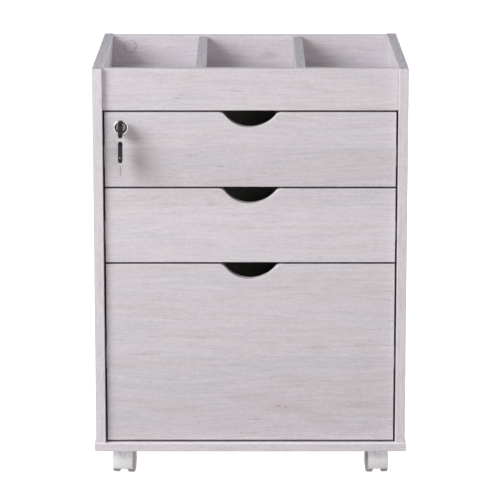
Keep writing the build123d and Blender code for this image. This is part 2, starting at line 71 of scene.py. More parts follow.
class Wire:
    """A node's output socket with arithmetic: each operator adds one Math node."""

    def __init__(self, net: "Net", socket: bpy.types.NodeSocket) -> None:
        """Keep the socket and the net it belongs to."""
        self.net = net
        self.socket = socket

    def __add__(self, other: Value) -> "Wire":
        """Sum."""
        return self.net.math("ADD", self, other)

    def __radd__(self, other: Value) -> "Wire":
        """Sum with a number on the left."""
        return self.net.math("ADD", other, self)

    def __sub__(self, other: Value) -> "Wire":
        """Difference."""
        return self.net.math("SUBTRACT", self, other)

    def __rsub__(self, other: Value) -> "Wire":
        """Difference from a number on the left."""
        return self.net.math("SUBTRACT", other, self)

    def __mul__(self, other: Value) -> "Wire":
        """Product."""
        return self.net.math("MULTIPLY", self, other)

    def __rmul__(self, other: Value) -> "Wire":
        """Product with a number on the left."""
        return self.net.math("MULTIPLY", other, self)

    def __truediv__(self, other: Value) -> "Wire":
        """Quotient."""
        return self.net.math("DIVIDE", self, other)

    def __pow__(self, other: Value) -> "Wire":
        """Power."""
        return self.net.math("POWER", self, other)

    def floor(self) -> "Wire":
        """Whole number below."""
        return self.net.math("FLOOR", self)

    def ramp(self, low: float, high: float) -> "Wire":
        """Smooth step from 0 at low to 1 at high.

        Args:
            low: value where the step starts.
            high: value where it ends; it may be below low for a falling step.

        Returns:
            A wire between 0 and 1.
        """
        step = self.net.node(
            "ShaderNodeMapRange",
            {"interpolation_type": "SMOOTHSTEP"},
            {"Value": self, "From Min": low, "From Max": high},
        )
        return Wire(self.net, step.outputs["Result"])


class Net:
    """The node tree of one material, with a single Principled shader at its end."""

    def __init__(self, name: str) -> None:
        """Start an empty material.

        Args:
            name: the material's name.
        """
        self.material = bpy.data.materials.new(name)
        self.material.use_nodes = True
        self.tree = self.material.node_tree
        self.tree.nodes.clear()
        self.shader = self.tree.nodes.new("ShaderNodeBsdfPrincipled")
        output = self.tree.nodes.new("ShaderNodeOutputMaterial")
        self.tree.links.new(self.shader.outputs["BSDF"], output.inputs["Surface"])

    def feed(self, socket: bpy.types.NodeSocket, value: Any) -> None:
        """Link a wire to a socket, or set the socket's own value.

        Args:
            socket: the input to fill.
            value: a wire, a number, or a tuple for a colour or vector.
        """
        if isinstance(value, Wire):
            self.tree.links.new(value.socket, socket)
        elif isinstance(value, tuple) and len(value) == 3 and socket.type == "RGBA":
            socket.default_value = (*value, 1.0)
        else:
            socket.default_value = value

    def node(self, kind: str, settings: Dict[str, Any], inputs: Dict[Any, Any]) -> bpy.types.Node:
        """Add one node.

        Args:
            kind: the node's type name.
            settings: its own properties, set before its sockets.
            inputs: values or wires by socket name or index.

        Returns:
            The new node.
        """
        made = self.tree.nodes.new(kind)
        for key, value in settings.items():
            setattr(made, key, value)
        for key, value in inputs.items():
            self.feed(made.inputs[key], value)
        return made

    def math(self, operation: str, *values: Value) -> Wire:
        """Add a Math node and return its result."""
        made = self.node("ShaderNodeMath", {"operation": operation}, dict(enumerate(values)))
        return Wire(self, made.outputs[0])

    def place(self) -> Tuple[Wire, Wire, Wire]:
        """Read Object coordinates.

        Returns:
            One wire for each axis.
        """
        source = self.node("ShaderNodeTexCoord", {}, {})
        parts = self.node("ShaderNodeSeparateXYZ", {},
                          {0: Wire(self, source.outputs["Object"])})
        return tuple(Wire(self, parts.outputs[i]) for i in range(3))

    def vector(self, x: Value, y: Value, z: Value) -> Wire:
        """Three wires or numbers joined into a vector."""
        made = self.node("ShaderNodeCombineXYZ", {}, {0: x, 1: y, 2: z})
        return Wire(self, made.outputs[0])

    def noise(self, where: Wire, detail: float = 2.0, rough: float = 0.5,
              warp: float = 0.0) -> Wire:
        """Noise from 0 to 1 at a vector whose unit is one blotch.

        Args:
            where: the vector wire.
            detail: octaves.
            rough: weight of each finer octave.
            warp: distortion.

        Returns:
            The noise's value.
        """
        made = self.node("ShaderNodeTexNoise", {}, {
            "Vector": where, "Scale": 1.0, "Detail": detail, "Roughness": rough,
            "Distortion": warp})
        return Wire(self, made.outputs[0])

    def mix(self, share: Value, first: Any, second: Any) -> Wire:
        """Mix two colours or colour wires.

        Args:
            share: 0 for the first, 1 for the second.
            first: colour at 0.
            second: colour at 1.

        Returns:
            The mixed colour.
        """
        made = self.node("ShaderNodeMix", {"data_type": "RGBA"},
                         {"Factor": share, 6: first, 7: second})
        return Wire(self, made.outputs[2])

    def tint(self, colour: Wire, amount: Wire) -> Wire:
        """Make a colour lighter or darker.

        Args:
            colour: the colour wire.
            amount: what it is multiplied by.

        Returns:
            The scaled colour.
        """
        made = self.node("ShaderNodeVectorMath", {"operation": "SCALE"},
                         {0: colour, "Scale": amount})
        return Wire(self, made.outputs[0])

    def bump(self, height: Wire, distance: float, strength: float = 1.0) -> None:
        """Feed the shader's normal from a height wire.

        Args:
            height: surface height, 0 to 1.
            distance: height of 1 in metres.
            strength: share of the effect.
        """
        made = self.node("ShaderNodeBump", {}, {
            "Height": height, "Distance": distance, "Strength": strength})
        self.feed(self.shader.inputs["Normal"], Wire(self, made.outputs[0]))

    def surface(self, **inputs: Any) -> bpy.types.Material:
        """Fill the shader's sockets.

        Args:
            inputs: wires or constants by socket name, with underscores for spaces.

        Returns:
            The material.
        """
        for key, value in inputs.items():
            self.feed(self.shader.inputs[key.replace("_", " ")], value)
        return self.material


# ---- finishes -------------------------------------------------------------------------

class Grain(Enum):
    """Which way a board's grain runs: indices of the along, across and thickness axes."""

    ALONG_X = (0, 2, 1)
    ALONG_X_LYING = (0, 1, 2)
    ALONG_Y = (1, 2, 0)
    ALONG_Z = (2, 1, 0)


@dataclass(frozen=True)
class Layer:
    """One noise of the wood figure.

    Along, across and through are its blotches to the metre, detail its octaves, rough the
    weight of each finer octave, and shift its start along the grain in blotches.
    """

    along: float
    across: float
    through: float
    detail: float = 2.0
    rough: float = 0.5
    shift: float = 0.0

    def noise(self, net: Net, along: Wire, across: Wire, through: Value) -> Wire:
        """Work out the layer.

        Args:
            net: the material's net.
            along: metres along the grain.
            across: metres across it.
            through: metres through the board, or another value that parts its planks.

        Returns:
            A wire from 0 to 1.
        """
        start = along * self.along
        if self.shift:
            start = start + self.shift
        where = net.vector(start, across * self.across, through * self.through)
        return net.noise(where, self.detail, self.rough)


def even(pitch: float, detail: float, rough: float = 0.5) -> Layer:
    """A layer with the same pitch in all three directions."""
    return Layer(pitch, pitch, pitch, detail, rough)


DRIFT = Layer(3.2, 9.0, 9.0, 1.5)
CLOUD = Layer(2.6, 17.0, 17.0, 3.0, 0.6)
STREAK = Layer(11.0, 210.0, 210.0, 2.0, 0.65)
FINE = Layer(46.0, 560.0, 560.0, 2.0, 0.6)
WEAVE = Layer(300.0, 620.0, 300.0, 2.0, 0.7)
PATCH = Layer(5.2, 21.0, 7.7, 2.0, 0.55)
THIN = Layer(30.0, 330.0, 330.0, 1.0, 0.4, 5.0)
EDGE_STREAK = Layer(26.0, 700.0, 1.0, 3.0, 0.7)


@dataclass(frozen=True)
class Knot:
    """A knot, a dash or a resin stain on a board.

    Along and across are its centre in metres, reach its half size across the grain, stretch
    its length over its width, dark the strength of its core and blush of its pink edge.
    """

    along: float
    across: float
    reach: float
    stretch: float = 2.6
    dark: float = 0.7
    blush: float = 0.3

    def parts_grain(self) -> bool:
        """Whether it is large and round enough for the grain to open round it."""
        return self.reach > 3.5 * MM and self.stretch < 3

    def away(self, along: Wire, across: Wire) -> Wire:
        """Measure how far a place is from the knot.

        Args:
            along: metres along the grain.
            across: metres across it.

        Returns:
            The distance, 1 at the knot's outline.
        """
        wide = (along - self.along) / (self.reach * self.stretch)
        high = (across - self.across) / self.reach
        return (wide * wide + high * high) ** 0.5

    def spread(self, along: Wire, across: Wire) -> Wire:
        """How much the grain opens round the knot, 1 at its centre and 0 far from it."""
        return self.away(along, across).ramp(3.2, 0.0)


@dataclass(frozen=True)
class PaintedEdgeLight:
    """Painted highlight along an arris: axis index, place on it in metres, gain in brightness.

    Behind the y of turn, on the same face, the painted highlight gives way to painted shade.
    """

    axis: int
    place: float
    gain: float = 0.09
    width: float = 1.5 * MM
    turn: float = 1.0
    shade: float = 0.40
    play: float = 0.5 * MM

    def light(self, axes: Tuple[Wire, ...]) -> Wire:
        """Work out the painted line.

        Args:
            axes: object coordinates.

        Returns:
            A wire to add to the lightness: painted highlight, or painted shade behind the turn; 0
                away from the line.
        """
        line = near(axes[self.axis] - self.place, self.width)
        if self.turn >= 1:
            return line * self.gain
        behind = axes[1].ramp(self.turn - self.play, self.turn + self.play)
        return line * (self.gain - behind * (self.gain + self.shade))


def near(off: Wire, width: float) -> Wire:
    """1 within a fifth of a millimetre of a line and 0 past its half width."""
    return (off * off).ramp(width ** 2, (0.2 * MM) ** 2)


def off_circle(axes: Tuple[Wire, ...], aside: float, above: float, radius: float) -> Wire:
    """Distance of a place from a circle drawn on the front of a board.

    Args:
        axes: object coordinates.
        aside: the circle's centre along X.
        above: the circle's centre along Z.
        radius: its radius.

    Returns:
        Metres outside the circle, less than 0 inside it.
    """
    x = axes[0] - aside
    z = axes[2] - above
    return (x * x + z * z) ** 0.5 - radius


# Painted highlight on the lit cut surface of the finger scoop, within the front's thickness.
SCOOP_PAINTED_LIGHT = PaintedEdgeLight(1, -0.1674, 0.14, 6.5 * MM)


@dataclass(frozen=True)
class WashedLaminate:
    """White-washed wood-grain laminate: clouds, plank tones, streaks, dashes, knots, painted
    arris highlights.

    The painted cap shadow is a painted shadow ring round a cover cap's outline: its centre's x
    and z, its radius, and the y of the face that it lies on. Edge is the z of a board's top edge,
    and scoop the z of the front's edge that a finger scoop is cut from; nothing for a board
    without one.
    """

    grain: Grain
    seed: float = 0.0
    knots: Tuple[Knot, ...] = ()
    painted_edge_lights: Tuple[PaintedEdgeLight, ...] = ()
    pale: Colour = (0.605, 0.575, 0.618)
    warm: Colour = (0.572, 0.532, 0.556)
    pink: Colour = (0.530, 0.415, 0.420)
    knot: Colour = (0.260, 0.190, 0.185)
    cool: Colour = (0.575, 0.545, 0.640)
    plank: float = 0.135
    bright: float = 1.0
    painted_cap_shadow: Tuple[float, ...] = ()
    edge: float = 0.0
    scoop: float = 0.0
    bowl: Circle = (0.0, 26.5 * MM, 50.0 * MM)
    shoulder: Circle = (48.6 * MM, -12.0 * MM, 12.0 * MM)
    plank_step: float = 0.317
    sway: float = 0.040
    opening: float = 0.6
    relief: float = 0.16 * MM

    def edge_band_and_painted_shade(self, net: Net, axes: Tuple[Wire, ...]) -> Tuple[Wire, Wire]:
        """Cooler, darker tone of a board's top edge, whose streaks run along Y: partly the edge
        band's own tone, partly painted shade on the upward face.

        Args:
            net: the material's net.
            axes: object coordinates.

        Returns:
            Two wires: 1 on the edge and 0 below it, and the change of lightness there, painted
                shade included.
        """
        streak = EDGE_STREAK.noise(net, axes[1], axes[0], self.seed)
        on_edge = axes[2].ramp(self.edge - 0.8 * MM, self.edge - 0.2 * MM)
        return on_edge, ((streak - MID) * 1.3 - 0.07) * on_edge

    def scoop_light(self, axes: Tuple[Wire, ...]) -> Wire:
        """Lit rounding along the right side of the finger scoop.

        Args:
            axes: object coordinates.

        Returns:
            A wire, 1 on the bowl's and the shoulder's arc and 0 away from them.
        """
        arcs = [near(off_circle(axes, aside, self.scoop + above, radius), 1.4 * MM)
                for aside, above, radius in (self.bowl, self.shoulder)]
        right_side = axes[0].ramp(-24 * MM, 14 * MM)
        low_end = axes[2].ramp(self.scoop - 7 * MM, self.scoop - 4 * MM)
        far_end = axes[0].ramp(51 * MM, 48 * MM)
        return arcs[0] * right_side + arcs[1] * low_end * far_end

    def painted_cap_shadow_ring(self, axes: Tuple[Wire, ...]) -> Wire:
        """Painted shadow ring round the cover cap's outline, on the inner side of its board only.

        Args:
            axes: object coordinates.

        Returns:
            A wire, 1 on the outline and 0 away from it.
        """
        aside, above, radius, face = self.painted_cap_shadow
        off = off_circle(axes, aside, above, radius)
        inside = axes[1].ramp(face + 5 * MM, face + 1 * MM)
        return (off * off).ramp((1.1 * MM) ** 2, 0.0) * inside

    def make(self, name: str) -> bpy.types.Material:
        """Build the material.

        Args:
            name: the material's name.

        Returns:
            The finished material.
        """
        net = Net(name)
        axes = net.place()
        along, across, deep = (axes[i] for i in self.grain.value)
        row = ((across + self.seed * 0.37) / self.plank).floor()
        run = along + self.seed + row * self.plank_step
        bent = across + (DRIFT.noise(net, run, across, deep) - MID) * self.sway
        for spot in self.knots:
            if spot.parts_grain():
                bent = bent - (across - spot.across) * spot.spread(along, across) * self.opening
        cloud, streak, fine, weave, thin = (
            layer.noise(net, run, bent, deep) for layer in (CLOUD, STREAK, FINE, WEAVE, THIN))
        patch = PATCH.noise(net, run, bent, row)
        tone = net.noise(net.vector(row * 5.3 + self.seed, 0.5, 0.5), 0.0)

        colour = net.mix(cloud.ramp(0.36, 0.64), self.pale, self.warm)
        colour = net.mix(patch.ramp(0.60, 0.80) * 0.36, colour, self.pink)
        pore = fine.ramp(0.56, 0.72) * streak.ramp(0.44, 0.62)
        dash = thin.ramp(0.70, 0.80) * patch.ramp(0.42, 0.56)
        light = (tone + cloud - 1.0) * 0.26 + (streak - MID) * 0.38 + (weave - MID) * 0.42
        light = light + (fine - MID) * 0.34 - pore * 0.16 - dash * 0.20 + self.bright
        for spot in self.knots:
            ring = spot.away(along, across) + (cloud - MID) * 0.9 + (streak - MID) * 0.9
            colour = net.mix(ring.ramp(1.35, 0.2) * spot.blush, colour, self.pink)
            if spot.dark > 0:
                colour = net.mix(ring.ramp(0.75, 0.1) * spot.dark, colour, self.knot)

        # Painted highlights along arrises, turning to painted shade behind a turn's y.
        for rim in self.painted_edge_lights:
            light = light + rim.light(axes)
        # Top edge: the edge band's cooler streaked tone, darkened as painted shade on the upward
        # face.
        if self.edge:
            on_edge, change = self.edge_band_and_painted_shade(net, axes)
            colour = net.mix(on_edge * 0.6, colour, self.cool)
            light = light + change
        if self.scoop:
            light = light + self.scoop_light(axes) * 0.30
        # Painted shadow ring round the cover cap.
        if self.painted_cap_shadow:
            light = light - self.painted_cap_shadow_ring(axes) * 0.30
        net.bump(streak * 0.35 + fine * 0.35 + weave * 0.3, self.relief, 0.6)
        return net.surface(Base_Color=net.tint(colour, light), Specular_IOR_Level=0.35,
                           Roughness=0.47 + streak * 0.16)


@dataclass(frozen=True)
class PlainBoard:
    """Melamine or hardboard: a plain colour with faint fibre mottling."""

    colour: Colour
    speck: Colour
    rough: float = 0.5
    fibre: float = 500.0

    def make(self, name: str) -> bpy.types.Material:
        """Build the material.

        Args:
            name: the material's name.

        Returns:
            The finished material.
        """
        net = Net(name)
        x, y, z = net.place()
        mottle = even(self.fibre, 3.0, 0.7).noise(net, x, y, z)
        cloud = even(7.0, 2.0).noise(net, x, y, z)
        colour = net.mix(mottle.ramp(0.35, 0.75) * 0.5 + cloud * 0.2, self.colour, self.speck)
        net.bump(mottle, 0.06 * MM, 0.5)
        return net.surface(Base_Color=colour, Roughness=self.rough + mottle * 0.12)


@dataclass(frozen=True)
class Metal:
    """Plated or drawn steel: directional marks along one axis and faint staining."""

    colour: Colour
    dull: Colour
    rough: float
    draw: Tuple[float, float, float] = (900.0, 40.0, 900.0)
    marks: float = 0.35

    def make(self, name: str) -> bpy.types.Material:
        """Build the material.

        Args:
            name: the material's name.

        Returns:
            The finished material.
        """
        net = Net(name)
        x, y, z = net.place()
        drawn = Layer(*self.draw, 2.0, 0.6).noise(net, x, y, z)
        stain = even(60.0, 3.0, 0.65).noise(net, x, y, z)
        colour = net.mix(stain.ramp(0.35, 0.75) * self.marks, self.colour, self.dull)
        net.bump(drawn, 0.03 * MM, 0.4)
        return net.surface(Base_Color=colour, Metallic=1.0,
                           Roughness=self.rough + drawn * 0.10 + stain * 0.08)


@dataclass(frozen=True)
class MouldedPlastic:
    """Moulded plastic: fine spark texture, faint flow clouds, a little grime, and darkening near
    the floor that is partly grime and partly painted shade.
    """

    colour: Colour
    grime_and_shade_tone: Colour
    rough: float = 0.4
    dirt: float = 0.25
    low_dirt_and_shade_height: float = 0.0
    shine: float = 0.5

    def make(self, name: str) -> bpy.types.Material:
        """Build the material; near the floor it darkens, partly grime and partly painted shade.

        Args:
            name: the material's name.

        Returns:
            The finished material.
        """
        net = Net(name)
        x, y, z = net.place()
        spark = even(1800.0, 2.0, 0.6).noise(net, x, y, z)
        cloud = even(90.0, 3.0, 0.6).noise(net, x, y, z)
        share = cloud.ramp(0.45, 0.8) * self.dirt
        # Darker towards the floor: partly grime, partly painted shade under the part.
        if self.low_dirt_and_shade_height > 0:
            share = share + (z + (cloud - MID) * (6 * MM)).ramp(self.low_dirt_and_shade_height, 0.0) * 0.75
        net.bump(spark, 0.03 * MM, 0.5)
        return net.surface(Base_Color=net.mix(share, self.colour, self.grime_and_shade_tone),
                           Specular_IOR_Level=self.shine,
                           Roughness=self.rough + cloud * 0.12)


# ---- surfaces -------------------------------------------------------------------------

def piece(name: str, points: np.ndarray, material: bpy.types.Material, wrap_u: bool = False,
          wrap_v: bool = False) -> bpy.types.Object:
    """Turn a grid of points into a smooth mesh piece at the origin.

    Args:
        name: the object's name.
        points: array of shape (rows, columns, 3), in metres.
        material: its finish.
        wrap_u: join the last row to the first.
        wrap_v: join the last column to the first.

    Returns:
        The linked object, its doubles merged and its faces turned outwards.
    """
    rows, columns = points.shape[:2]
    index = np.arange(rows * columns).reshape(rows, columns)
    next_u = np.roll(index, -1, 0)
    next_v = np.roll(index, -1, 1)
    both = np.roll(next_u, -1, 1)
    quads = np.stack([index, next_u, both, next_v], -1)
    quads = quads[: rows if wrap_u else rows - 1, : columns if wrap_v else columns - 1]
    mesh = bpy.data.meshes.new(name)
    mesh.from_pydata(points.reshape(-1, 3).tolist(), [], quads.reshape(-1, 4).tolist())
    tidy = bmesh.new()
    tidy.from_mesh(mesh)
    bmesh.ops.remove_doubles(tidy, verts=tidy.verts, dist=MERGE)
    bmesh.ops.dissolve_degenerate(tidy, dist=MERGE, edges=tidy.edges)
    bmesh.ops.recalc_face_normals(tidy, faces=tidy.faces)
    tidy.to_mesh(mesh)
    tidy.free()
    mesh.materials.append(material)
    mesh.shade_smooth()
    mesh.set_sharp_from_angle(angle=radians(SHARP_ANGLE))
    made = bpy.data.objects.new(name, mesh)
    bpy.context.scene.collection.objects.link(made)
    return made


def arc(centre: Tuple[float, float], radius: float, start: float, end: float,
        steps: int = 8) -> np.ndarray:
    """Points of a circular arc: centre plus radius times (cosine, sine) of the angle.

    Args:
        centre: the arc's centre.
        radius: its radius.
        start: first angle in degrees.
        end: last angle in degrees.
        steps: spans along it.

    Returns:
        Array of shape (steps + 1, 2).
    """
    angle = np.radians(np.linspace(start, end, steps + 1))
    return np.stack([centre[0] + radius * np.cos(angle), centre[1] + radius * np.sin(angle)], -1)


def across_axis(axis: Vector) -> Tuple[np.ndarray, np.ndarray, np.ndarray]:
    """Frame an axis: its direction, and two crosses that are square to it.

    Args:
        axis: the axis, of any length.

    Returns:
        Unit vectors along it and two square to it and to each other.
    """
    along = np.array(axis.normalized())
    helper = np.array((0.0, 0.0, 1.0)) if abs(along[2]) < 0.9 else np.array((0.0, 1.0, 0.0))
    first = np.cross(along, helper)
    first /= np.linalg.norm(first)
    return along, first, np.cross(along, first)


def turned(name: str, profile: np.ndarray, origin: Vector, axis: Vector,
           material: bpy.types.Material, closed: bool = False,
           segments: int = 64) -> bpy.types.Object:
    """Turn a profile about an axis.

    A point is origin + axis times its length along + radius times (first cosine + second
    sine) of the turn, worked out for the whole grid at once.

    Args:
        name: the object's name.
        profile: array of (along, radius) rows in metres.
        origin: a point on the axis.
        axis: direction of the axis.
        material: its finish.
        closed: the profile is a loop, as for a ring.
        segments: spans round the axis.

    Returns:
        The piece.
    """
    along, first, second = across_axis(axis)
    angle = np.linspace(0, 2 * pi, segments, endpoint=False)
    spoke = np.cos(angle)[:, None] * first + np.sin(angle)[:, None] * second
    points = (np.array(origin) + profile[None, :, :1] * along
              + profile[None, :, 1:] * spoke[:, None, :])
    return piece(name, points, material, wrap_u=True, wrap_v=closed)


def tube(name: str, path: np.ndarray, radius: np.ndarray, material: bpy.types.Material,
         sides: int = 12) -> bpy.types.Object:
    """Carry a circle along a path that lies near one plane square to Y.

    Each ring is the path's point + radius times (cosine times the in-plane normal + sine
    times Y); a radius of nothing at both ends closes it.

    Args:
        name: the object's name.
        path: array of shape (n, 3).
        radius: n radii.
        material: its finish.
        sides: spans round the section.

    Returns:
        The piece.
    """
    ahead = np.gradient(path, axis=0)
    ahead /= np.linalg.norm(ahead, axis=1, keepdims=True)
    up = np.array((0.0, 1.0, 0.0))
    side = np.cross(ahead, up)
    side /= np.linalg.norm(side, axis=1, keepdims=True)
    lift = np.cross(side, ahead)
    angle = np.linspace(0, 2 * pi, sides, endpoint=False)
    ring = (np.cos(angle)[None, :, None] * side[:, None, :]
            + np.sin(angle)[None, :, None] * lift[:, None, :])
    points = path[:, None, :] + radius[:, None, None] * ring
    return piece(name, points, material, wrap_v=True)


def eased(share: np.ndarray) -> np.ndarray:
    """Smooth step of a share that is cut to 0 and 1: three squares less two cubes."""
    share = np.clip(share, 0, 1)
    return share * share * (3 - 2 * share)


def dress(node: str, material: bpy.types.Material) -> None:
    """Give a frame node its finish.

    Args:
        node: the node's name.
        material: the finish.
    """
    owner = frame["nodes"][node]
    if not owner.material_slots:
        owner.data.materials.append(material)
    for place in owner.material_slots:
        place.material = material
    LOG.info("dressed %s", node)


def fit(made: bpy.types.Object, body: str, slot: str, *nodes: str) -> bpy.types.Object:
    """Ride a new piece on a body and hide the frame nodes that it stands for.

    Args:
        made: the piece.
        body: the body that carries it.
        slot: its material slot; not used.
        nodes: frame nodes that it replaces.

    Returns:
        The same piece.
    """
    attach(made, body)
    if nodes:
        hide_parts(*nodes)
    LOG.info("built %s on %s", made.name, body)
    return made


def joint(name: str) -> Dict[str, Any]:
    """The frame's joint of that name."""
    return next(j for j in frame["joints"] if j["name"] == name)


# ---- sub-assemblies -------------------------------------------------------------------

@dataclass
class Carcass:
    """Boards of the body and their fittings."""

    zinc: bpy.types.Material
    # Arris lines on these boards are painted highlights; the base's line turns to painted shade
    # in the gap behind the fronts.
    boards: Dict[str, WashedLaminate] = field(default_factory=lambda: {
        "side_panel_left": WashedLaminate(
            Grain.ALONG_Z, 1.7, (), (PaintedEdgeLight(0, -0.225, 0.06),), bright=1.06, edge=0.650),
        "side_panel_right": WashedLaminate(
            Grain.ALONG_Z, 4.3, (), (PaintedEdgeLight(0, 0.225, 0.24),), bright=1.03, edge=0.650),
        "base_panel": WashedLaminate(
            Grain.ALONG_X_LYING, 2.9, (), (PaintedEdgeLight(2, 0.063, 0.46, turn=-0.1745),), bright=1.09),
        "front_rail": WashedLaminate(Grain.ALONG_X, 6.1, (
            Knot(-0.112, 0.604, 0.0016, 6.0, 0.42, 0.2), Knot(0.085, 0.622, 0.003, 4.0, 0.0),
            Knot(-0.011, 0.606, 0.0020, 1.2, 0.14)), (PaintedEdgeLight(2, 0.649), PaintedEdgeLight(2, 0.585, 0.15))),
        # bright=1.36 is painted light: the tray floor is lightened as if lit from above.
        "tray_floor": WashedLaminate(Grain.ALONG_X_LYING, 7.7, bright=1.36),
        "tray_divider_left": WashedLaminate(Grain.ALONG_Y, 3.3, edge=0.647),
        "tray_divider_right": WashedLaminate(Grain.ALONG_Y, 5.9, edge=0.647),
    })
    # Back board: its top arris line is a painted highlight and the ring round the cover cap a
    # painted shadow.
    back: WashedLaminate = WashedLaminate(Grain.ALONG_X, 8.8, (
        Knot(0.032, 0.616, 0.0075, 2.6, 0.16, 0.55), Knot(-0.160, 0.400, 0.006, 2.4, 0.5)),
        (PaintedEdgeLight(2, 0.649, 0.14),), painted_cap_shadow=(-0.1975, 0.631, 0.0101, 0.1992))
    # Zinc darkened as painted shade, so the slide members seen through the side gaps stay dark.
    painted_shade_zinc: Metal = Metal((0.22, 0.22, 0.23), (0.14, 0.14, 0.14), 0.5)

    def dress(self) -> None:
        """Give every carcass node its finish; the cap matches the board that it covers."""
        for node, finish in self.boards.items():
            dress(node, finish.make("laminate_" + node))
        behind = self.back.make("laminate_back_panel")
        dress("back_panel", behind)
        dress("cam_cover_cap", behind)
        dress("slide_cabinet_members", self.painted_shade_zinc.make("painted_shade_zinc"))
        for node in ("cam_fittings", "base_screws", "lock_keeper", "caster_plates",
                     "caster_screws"):
            dress(node, self.zinc)


@dataclass
class Drawers:
    """Fronts, boxes, slides and file bars."""

    zinc: bpy.types.Material
    # Each front's top arris line is a painted highlight that turns to painted shade in the gap
    # behind the face; the scoop line is painted light on the scoop's cut surface.
    fronts: Dict[str, WashedLaminate] = field(default_factory=lambda: {
        "drawer_1": WashedLaminate(Grain.ALONG_X, 0.4, (
            Knot(-0.046, 0.498, 0.0012, 7.0, 0.42, 0.1), Knot(-0.030, 0.517, 0.0014, 1.6, 0.35),
            Knot(-0.115, 0.502, 0.0010, 5.0, 0.30, 0.1), Knot(0.150, 0.500, 0.0040, 4.0, 0.0)),
            (PaintedEdgeLight(2, 0.582, 0.17, turn=-0.1738), SCOOP_PAINTED_LIGHT), bright=0.97, scoop=0.582),
        "drawer_2": WashedLaminate(Grain.ALONG_X, 9.4, (
            Knot(-0.056, 0.441, 0.0050, 2.2, 0.0, 0.4), Knot(-0.044, 0.442, 0.0015, 1.4, 0.5),
            Knot(-0.085, 0.402, 0.0010, 1.4, 0.50), Knot(-0.060, 0.399, 0.0012, 6.0, 0.28, 0.1),
            Knot(-0.093, 0.380, 0.0010, 3.0, 0.40)),
            (PaintedEdgeLight(2, 0.464, 0.17, turn=-0.1738), SCOOP_PAINTED_LIGHT), bright=0.985, scoop=0.464),
        "file_drawer": WashedLaminate(Grain.ALONG_X, 11.135, (
            Knot(0.044, 0.120, 0.0040, 2.4, 0.0, 0.5), Knot(0.044, 0.120, 0.0021, 1.8, 0.85),
            Knot(0.054, 0.119, 0.0019, 1.5, 0.80), Knot(-0.165, 0.204, 0.0018, 1.4, 0.65),
            Knot(-0.158, 0.204, 0.0036, 3.5, 0.0, 0.4), Knot(-0.142, 0.203, 0.0010, 3.0, 0.4),
            Knot(0.032, 0.213, 0.0090, 2.0, 0.0, 0.32), Knot(0.104, 0.215, 0.0060, 3.6, 0.0, 0.5),
            Knot(0.186, 0.215, 0.0060, 5.0, 0.0, 0.34), Knot(0.116, 0.304, 0.0075, 1.0, 0.0, 0.4),
            Knot(0.177, 0.302, 0.0034, 11.0, 0.0, 0.4), Knot(0.183, 0.122, 0.008, 4.0, 0.0, 0.34),
            Knot(0.054, 0.310, 0.0009, 18.0, 0.45, 0.1), Knot(0.194, 0.087, 0.003, 8.0, 0.0),
            Knot(-0.179, 0.073, 0.0040, 8.0, 0.0, 0.25), Knot(0.0, 0.076, 0.0035, 5.0, 0.0)),
            (PaintedEdgeLight(2, 0.346, 0.17, turn=-0.1738), SCOOP_PAINTED_LIGHT), scoop=0.346),
    })
    melamine: PlainBoard = PlainBoard((0.70, 0.69, 0.67), (0.62, 0.61, 0.59))
    hardboard: PlainBoard = PlainBoard((0.60, 0.55, 0.49), (0.44, 0.37, 0.30), 0.6, 260.0)

    def dress(self) -> None:
        """Give every drawer node its finish."""
        plain = self.melamine.make("melamine")
        brown = self.hardboard.make("hardboard")
        for drawer, finish in self.fronts.items():
            dress(drawer + "_front", finish.make("laminate_" + drawer))
            dress(drawer + "_sides", plain)
            dress(drawer + "_back", plain)
            dress(drawer + "_bottom", brown)
            dress(drawer + "_slide_middles", self.zinc)
            dress(drawer + "_slide_runners", self.zinc)
        dress("file_bars", self.zinc)


